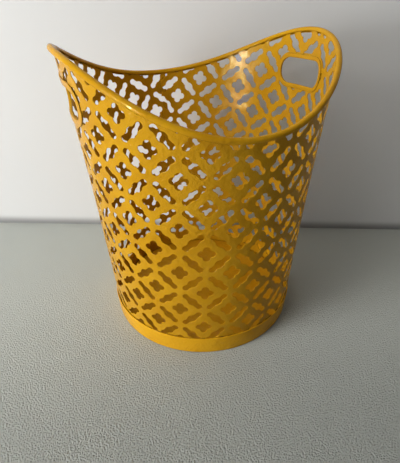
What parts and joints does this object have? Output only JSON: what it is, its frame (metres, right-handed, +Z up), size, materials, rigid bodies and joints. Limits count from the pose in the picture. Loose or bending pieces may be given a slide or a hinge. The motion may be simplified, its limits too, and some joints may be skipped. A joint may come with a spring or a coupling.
{
  "type": "perforated metal basket",
  "caption": "Round tapered basket of perforated sheet steel with a saddle-shaped bound rim, trimmed hand holes and a solid foot band.",
  "frame": {"origin": "centre of the foot ring, on the floor plane", "axes": "+Z up the basket's axis, X through the two hand holes, Y through the two low points of the rim with the lapped seam at +Y"},
  "size_m": [0.3049, 0.2874, 0.3488],
  "materials": {
    "enamel_sheet": "semi-gloss yellow enamel on perforated sheet",
    "enamel_rim": "semi-gloss yellow enamel",
    "enamel_trim": "semi-gloss yellow enamel",
    "enamel_foot": "semi-gloss yellow enamel",
    "enamel_pan": "semi-gloss yellow enamel"
  },
  "bodies": {
    "root": {"wall_sheet": "enamel_sheet", "rim_binding": "enamel_rim", "hand_trim_right": "enamel_trim", "hand_trim_left": "enamel_trim", "foot_band": "enamel_foot", "bottom_pan": "enamel_pan"}
  },
  "joints": []
}
